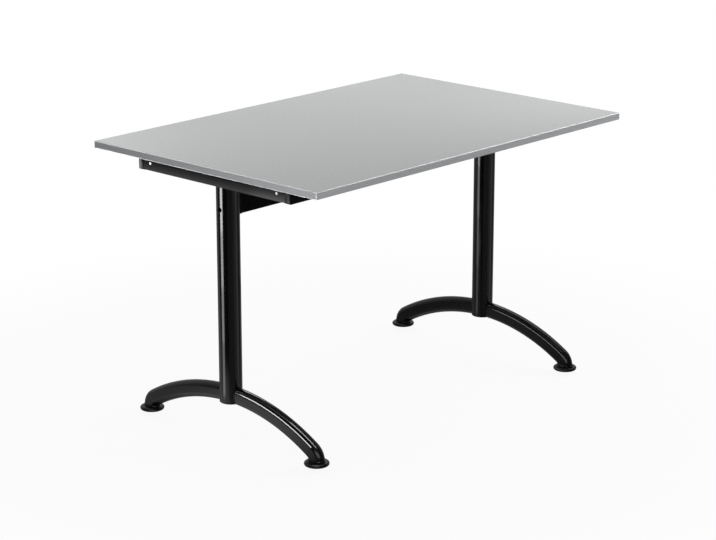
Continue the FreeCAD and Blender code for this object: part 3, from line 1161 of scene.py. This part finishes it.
SHEET = ("laminate_sheet",)
LEFT_BAND = ("band_left",)
FRONT_BAND = ("band_front",)
NEAR_BANDS = LEFT_BAND + FRONT_BAND
CHANNELS = ("channel_left", "channel_right", "cap_")
LEFT_CAP = ("cap_back_left",)
SCREWS = ("channel_screws",)
LEFT_ARM = ("arm_front_left",)
LEFT_FOOT = (*LEFT_ARM, "toe_front_left", "pad_front_left")
RIGHT_FOOT = ("arm_front_right", "toe_front_right", "pad_front_right")
FRONT_FEET = LEFT_FOOT + RIGHT_FOOT
TOES = ("pad_", "toe_")
LAMPS = (
    # Light all round, and soft light on the top
    Lamp("overhead_softbox", (-0.2, 0.4, 2.7), (0.0, 0.1, 0.7), (2.6, 2.0), 13.5, shows=Shows.BOTH),
    Lamp("right_fill", (2.4, -1.8, 1.5), (0.2, 0.0, 0.5), (1.4, 1.4), 30.0, shows=Shows.LIGHT),
    Lamp("left_back_soft", (-0.95, 0.68, 1.08), (-0.5, 0.33, 0.74), (0.7, 0.35), 4.2, SHEET, Shows.LIGHT),
    Lamp("back_soft", (0.45, 0.85, 1.2), (0.3, 0.35, 0.74), (1.0, 0.4), 2.8, SHEET, Shows.LIGHT),
    Lamp("right_soft", (0.85, -0.25, 1.5), (0.3, -0.15, 0.74), (0.5, 0.8), 5.0, SHEET, Shows.LIGHT),
    # Shine on the channels and their screws
    Lamp("channel_card", (-1.12, 0.52, 0.40), (-0.56, 0.52, 0.45), (1.2, 0.16), 0.75, CHANNELS),
    Lamp("channel_end_card", (-1.13, 0.30, 0.40), (-0.56, 0.30, 0.45), (0.3, 0.16), 0.2, CHANNELS),
    Lamp("screw_card", (-1.12, 0.52, 0.48), (-0.56, 0.0, 0.70), (2.0, 1.2), 22.0, SCREWS),
    # Lines along the front feet, the last lamp for views from the right
    Lamp("left_foot_softbox", (-0.6, -0.36, 0.6), (-0.6, -0.3, 0.08), (0.1, 0.42), 1.6, LEFT_FOOT),
    Lamp("left_foot_strip", (-1.30, 0.13, 0.33), (-0.52, 0.0, 0.15), (0.85, 0.22), 11.0, LEFT_ARM),
    Lamp("right_foot_strip", (-0.18, -0.05, 0.21), (0.5, -0.22, 0.09), (0.8, 0.1), 1.4, RIGHT_FOOT),
    Lamp("right_foot_softbox", (1.23, -0.05, 1.49), (0.5, -0.3, 0.1), (1.9, 0.4), 3.0, RIGHT_FOOT),
    Lamp("feet_back_softbox", (0.7, 1.6, 1.8), (0.0, -0.2, 0.1), (2.4, 0.6), 20.0, FRONT_FEET),
    # Lines along the top's near edges, and the glint and the soft light at its near corner
    Lamp("left_edge_upper", (-1.02, 0.98, 1.79), (-0.6, 0.0, 0.74), (1.8, 1.8), 72.0, LEFT_BAND),
    Lamp("left_edge_lower", (-0.31, 0.67, 0.03), (-0.31, 0.67, 1.0), (0.7, 1.4), 32.0, LEFT_BAND),
    Lamp("front_edge_upper", (1.05, -0.82, 1.72), (0.0, -0.4, 0.74), (2.2, 1.8), 105.0, FRONT_BAND),
    Lamp("corner_glint", (-0.691, -0.367, 0.705), (-0.6, -0.4, 0.73), (0.064, 0.024), 0.2, FRONT_BAND),
    Lamp("corner_soft", (-1.1, -0.45, 0.5), (-0.6, -0.2, 0.73), (0.6, 0.3), 2.2, NEAR_BANDS, Shows.LIGHT),
    # Shine on the left channel's back cap, and on toes and pads
    Lamp("cap_card", (-0.905, 0.605, 0.575), (-0.56, 0.265, 0.70), (0.06, 0.2), 0.22, LEFT_CAP),
    Lamp("toe_card", (-1.9, -1.5, 0.6), (0.0, 0.0, 0.0), (2.0, 0.8), 10.0, TOES),
)


@dataclass(frozen=True)
class ColumnLights:
    """Strip lights in steps that draw a column's line, and dim cards that draw its soft sheen.

    The growth is how much stronger each strip is than the one below it, so that the line fades downwards.
    Each card has a name, a place beside the column's axis along X and Y, a width and a power.
    """

    side: Side
    foot_watts: float
    growth: float
    strip_steps: int = 4
    strip_size: tuple[float, float] = (0.15, 0.155)
    strip_place: tuple[float, float] = (-0.331, 0.128)
    card_height: float = 0.7
    card_middle: float = 0.3
    cards: tuple[tuple[str, float, float, float, float], ...] = (
        ("wash", -0.022, -0.330, 0.85, 0.20),
        ("sheen", 0.136, -0.302, 0.30, 0.09),
        ("gleam", 0.200, -0.260, 0.14, 0.075),
    )

    def lamps(self) -> list[Lamp]:
        """Place the lamps by the column.

        Returns:
            The strips from the lowest up, and then the cards.
        """
        word = self.side.word
        low, high = corners(f"column_{word}")
        middle = (low.x + high.x) / 2
        pieces = (f"column_tube_{word}",)
        lamps = []
        for step in range(self.strip_steps):
            height = (step + 0.5) * self.strip_size[1]
            place = (middle + self.strip_place[0], self.strip_place[1], height)
            target = (middle, 0.0, height)
            watts = self.foot_watts * self.growth ** step
            lamps.append(Lamp(f"{word}_strip_{step}", place, target, self.strip_size, watts, pieces))
        for name, x_offset, y_offset, width, watts in self.cards:
            place = (middle + x_offset, y_offset, self.card_middle)
            target = (middle, 0.0, self.card_middle)
            size = (width, self.card_height)
            lamps.append(Lamp(f"{word}_column_{name}", place, target, size, watts, pieces))
        return lamps


COLUMN_LIGHTS = (ColumnLights(Side.LEFT, 0.185, 1.7), ColumnLights(Side.RIGHT, 0.065, 1.75))
# How bright the dark parts of the studio show in shiny surfaces
DARK_SHINE = 0.03


@dataclass(frozen=True)
class Fade:
    """Smooth change from one level to another while a value runs from start to stop."""

    start: float
    stop: float
    before: float
    after: float

    def inputs(self, value: Socket) -> dict[str, object]:
        """The fade as a node's inputs, with the value that runs."""
        levels = {"To Min": self.before, "To Max": self.after}
        return {"Value": value, "From Min": self.start, "From Max": self.stop, **levels}


@dataclass
class Studio:
    """Camera, pale floor, lamps and world."""

    image_width: int = 716
    focal_pixels: float = 2269.0
    yaw: float = math.radians(47.23)
    pitch: float = math.radians(16.37)
    camera_place: tuple[float, float, float] = (-4.353, -4.005, 2.078)
    sensor_width: float = 36.0
    floor_radius: float = 4.0
    floor_drop: float = 12.2 * MM
    floor_paint: str = "#f4f4f4"
    floor_polish: str = "#9a9a9a"
    floor_roughness: float = 0.12
    # Edges of the painted pool of light, a glow of the floor that only shiny surfaces show, along X and Y
    pool_edges: tuple[tuple[str, Fade], ...] = (
        ("X", Fade(-1.25, -0.95, DARK_SHINE, 0.75)),
        ("X", Fade(-0.60, -0.53, 1.0, 0.25)),
        ("Y", Fade(-0.40, -0.02, DARK_SHINE, 1.0)),
        ("Y", Fade(0.18, 0.42, 1.0, 0.42)),
    )
    # Share of plain white in the floor that the camera sees, by the distance from the table's middle
    shadow_fade: Fade = Fade(0.9, 1.8, 0.92, 1.0)
    # Light from all round, stronger from the right
    soft_light: Fade = Fade(-1.0, 0.6, 0.22, 0.6)
    backdrop_heading: tuple[float, float, float] = (0.6, 0.8, 0.0)
    backdrop_shine: Fade = Fade(-0.2, 0.6, DARK_SHINE, 0.45)

    def build(self) -> None:
        """Make the camera, the floor, the world and the lamps."""
        scene = bpy.context.scene
        scene.view_settings.view_transform = "Standard"
        self.camera(scene)
        self.floor()
        self.world(scene)
        lamps = list(LAMPS)
        for lights in COLUMN_LIGHTS:
            lamps += lights.lamps()
        for lamp in lamps:
            lamp.build()
        log.info("studio: camera, floor, world and %d lamps", len(lamps))

    def camera(self, scene: bpy.types.Scene) -> None:
        """Camera at the photograph's viewing angle.

        Args:
            scene: the scene that gets the camera.
        """
        data = bpy.data.cameras.new("camera")
        data.sensor_width = self.sensor_width
        data.lens = self.focal_pixels * self.sensor_width / self.image_width
        camera = bpy.data.objects.new("camera", data)
        level = math.cos(self.pitch)
        ahead = Vector((level * math.sin(self.yaw), level * math.cos(self.yaw), -math.sin(self.pitch)))
        camera.location = self.camera_place
        camera.rotation_mode = "QUATERNION"
        camera.rotation_quaternion = ahead.to_track_quat("-Z", "Y")
        scene.collection.objects.link(camera)
        scene.camera = camera

    def floor(self) -> None:
        """Pale round floor that shows white and keeps a faint shadow."""
        bm = bmesh.new()
        bmesh.ops.create_circle(bm, cap_ends=True, segments=ROUND_STEPS, radius=self.floor_radius)
        bmesh.ops.translate(bm, vec=UP * -self.floor_drop, verts=bm.verts)
        mesh = bpy.data.meshes.new("floor")
        bm.to_mesh(mesh)
        bm.free()
        mesh.materials.append(self.floor_material())
        floor = bpy.data.objects.new("floor", mesh)
        bpy.context.scene.collection.objects.link(floor)

    def floor_material(self) -> bpy.types.Material:
        """White painted floor: white to the camera, and to shiny surfaces a painted pool of light by the
        left foot, which the floor gives off as glow.

        Returns:
            The floor's material.
        """
        made = bpy.data.materials.new("floor_white_paint")
        made.use_nodes = True
        tree = made.node_tree
        tree.nodes.clear()
        path = add_node(tree, "ShaderNodeLightPath").outputs
        place = add_node(tree, "ShaderNodeTexCoord").outputs["Object"]
        apart = add_node(tree, "ShaderNodeSeparateXYZ", {"Vector": place}).outputs
        distance = add_node(tree, "ShaderNodeVectorMath", {0: place}, operation="LENGTH").outputs["Value"]
        # Painted pool of light: the floor's glow to glossy rays, faded at its edges along X and Y
        shine: Socket | float = 1.0
        for axis, fade in self.pool_edges:
            edge = add_node(tree, "ShaderNodeMapRange", fade.inputs(apart[axis]), **SMOOTH).outputs["Result"]
            both = {0: shine, 1: edge}
            shine = add_node(tree, "ShaderNodeMath", both, operation="MULTIPLY").outputs["Value"]
        near = self.shadow_fade.inputs(distance)
        white = add_node(tree, "ShaderNodeMapRange", near, **SMOOTH).outputs["Result"]
        seen = {0: path["Is Camera Ray"], 1: white}
        polish = {"Color": linear(self.floor_polish), "Roughness": self.floor_roughness}
        # Shiny surfaces see the painted glow of the pool together with a real polish on the floor
        polished = {
            0: add_node(tree, "ShaderNodeEmission", {"Strength": shine}).outputs["Emission"],
            1: add_node(tree, "ShaderNodeBsdfGlossy", polish).outputs["BSDF"],
        }
        painted = {
            0: path["Is Glossy Ray"],
            1: add_node(tree, "ShaderNodeBsdfDiffuse", {"Color": linear(self.floor_paint)}).outputs["BSDF"],
            2: add_node(tree, "ShaderNodeAddShader", polished).outputs["Shader"],
        }
        whole = {
            0: add_node(tree, "ShaderNodeMath", seen, operation="MULTIPLY").outputs["Value"],
            1: add_node(tree, "ShaderNodeMixShader", painted).outputs["Shader"],
            2: add_node(tree, "ShaderNodeEmission", {"Strength": 1.0}).outputs["Emission"],
        }
        surface = add_node(tree, "ShaderNodeMixShader", whole).outputs["Shader"]
        add_node(tree, "ShaderNodeOutputMaterial", {"Surface": surface})
        return made

    def world(self, scene: bpy.types.Scene) -> None:
        """White backdrop behind the table, dark studio in front of it, soft light from all round.

        Args:
            scene: the scene that gets the world.
        """
        world = bpy.data.worlds.new("studio")
        world.use_nodes = True
        tree = world.node_tree
        tree.nodes.clear()
        path = add_node(tree, "ShaderNodeLightPath").outputs
        heading = add_node(tree, "ShaderNodeTexCoord").outputs["Generated"]
        towards = {0: heading, 1: self.backdrop_heading}
        ahead = add_node(tree, "ShaderNodeVectorMath", towards, operation="DOT_PRODUCT").outputs["Value"]
        aside = add_node(tree, "ShaderNodeSeparateXYZ", {"Vector": heading}).outputs["X"]
        soft = self.soft_light.inputs(aside)
        behind = self.backdrop_shine.inputs(ahead)
        lit = {
            "Factor": path["Is Glossy Ray"],
            "A": add_node(tree, "ShaderNodeMapRange", soft, **SMOOTH).outputs["Result"],
            "B": add_node(tree, "ShaderNodeMapRange", behind, **SMOOTH).outputs["Result"],
        }
        seen = {
            "Factor": path["Is Camera Ray"],
            "A": add_node(tree, "ShaderNodeMix", lit, data_type="FLOAT").outputs["Result"],
            "B": 1.0,
        }
        level = add_node(tree, "ShaderNodeMix", seen, data_type="FLOAT").outputs["Result"]
        white = {"Color": linear("#ffffff"), "Strength": level}
        backdrop = add_node(tree, "ShaderNodeBackground", white)
        add_node(tree, "ShaderNodeOutputWorld", {"Surface": backdrop.outputs["Background"]})
        scene.world = world


def main() -> None:
    """Build the table from its sub-assemblies, then the studio round it."""
    logging.basicConfig(level=logging.INFO, format="%(name)s: %(message)s")
    TableTop().build()
    for side in Side:
        Leg(side).build()
        for end in End:
            Glide(side, end).build()
    Beam().build()
    Studio().build()


if __name__ == "__main__":
    main()
